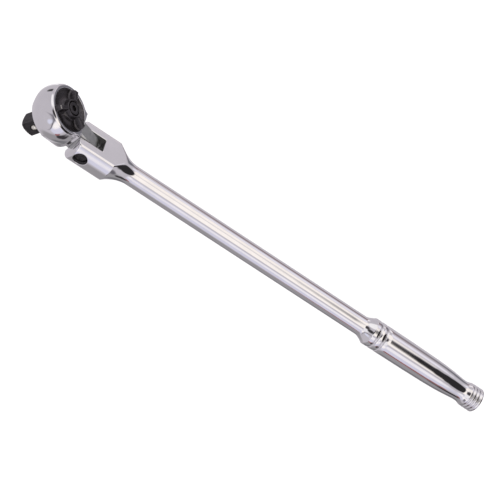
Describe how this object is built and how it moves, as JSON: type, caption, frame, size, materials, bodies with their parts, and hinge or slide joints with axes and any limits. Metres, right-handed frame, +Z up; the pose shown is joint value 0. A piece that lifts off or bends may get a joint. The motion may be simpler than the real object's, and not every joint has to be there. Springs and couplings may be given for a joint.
{
  "type": "flex-head ratchet wrench",
  "caption": "Long-handled ratchet wrench with a flexing round head, a reversing dial and a half-inch square drive.",
  "frame": {"origin": "middle of the underside of the whole wrench's box, on the surface it lies on, with the dial side up", "axes": "+X along the handle from the head to the grip end, +Y along the flex pin, +Z up through the fork's flat top"},
  "size_m": [0.4532, 0.0462, 0.0503],
  "materials": {
    "chrome_polish": "mirror-polished chrome plate",
    "black_oxide": "satin black oxide",
    "hard_steel": "ground hardened steel",
    "bright_steel": "polished bearing ball",
    "spring_steel": "bright drawn wire",
    "bronze": "turned bronze",
    "seal_rubber": "matte nitrile rubber"
  },
  "bodies": {
    "handle": {"handle": "chrome_polish", "pivot_pin": "black_oxide", "friction_plunger": "hard_steel", "friction_spring": "spring_steel"},
    "head": {"head_housing": "chrome_polish", "journal_bush": "bronze"},
    "drive": {"thrust_washer": "bronze", "drive_anvil": "black_oxide", "retaining_ring": "hard_steel", "pawl_pin_left": "hard_steel", "pawl_pin_right": "hard_steel", "pawl_spring_left": "spring_steel", "pawl_spring_right": "spring_steel", "drive_ball_spring": "spring_steel", "dial_screw": "black_oxide", "click_spring": "spring_steel"},
    "drive_ball": {"drive_ball": "bright_steel"},
    "click_ball": {"click_ball": "bright_steel"},
    "dial": {"reversing_dial": "black_oxide", "cam_plate": "hard_steel", "dial_seal": "seal_rubber"},
    "pawl_left": {"pawl_left": "hard_steel"},
    "pawl_right": {"pawl_right": "hard_steel"}
  },
  "joints": [
    {"name": "head_flex", "type": "hinge", "parent": "handle", "child": "head", "pos_m": [-0.17163, 0, 0.0186], "axis": [0, 1, 0], "range_deg": [-109.5, 70.5]},
    {"name": "drive_spin", "type": "hinge", "parent": "head", "child": "drive", "pos_m": [-0.20061, 0, 0.04159], "axis": [0.3338, 0, 0.9426], "continuous": true},
    {"name": "dial_turn", "type": "hinge", "parent": "drive", "child": "dial", "pos_m": [-0.20061, 0, 0.04159], "axis": [0.3338, 0, 0.9426], "range_deg": [0, 40]},
    {"name": "pawl_left_swing", "type": "hinge", "parent": "drive", "child": "pawl_left", "pos_m": [-0.21019, -0.00938, 0.0365], "axis": [0.3338, 0, 0.9426], "range_deg": [-15, 0], "deforming": ["pawl_spring_left"]},
    {"name": "pawl_right_swing", "type": "hinge", "parent": "drive", "child": "pawl_right", "pos_m": [-0.21019, 0.00938, 0.0365], "axis": [0.3338, 0, 0.9426], "range_deg": [-15, 0], "deforming": ["pawl_spring_right"]},
    {"name": "drive_ball_push", "type": "slide", "parent": "drive", "child": "drive_ball", "axis": [0, 1, 0], "range_m": [0, 0.0011], "stiffness_N_per_m": 1500, "springref_m": -0.0012, "deforming": ["drive_ball_spring"]},
    {"name": "click_ball_push", "type": "slide", "parent": "drive", "child": "click_ball", "axis": [-0.3338, 0, -0.9426], "range_m": [0, 0.0006], "stiffness_N_per_m": 800, "springref_m": -0.001, "deforming": ["click_spring"]}
  ],
  "couplings": [
    {"joint": "pawl_left_swing", "follows": "dial_turn", "ratio": -0.375},
    {"joint": "pawl_right_swing", "follows": "dial_turn", "ratio": -0.375}
  ]
}
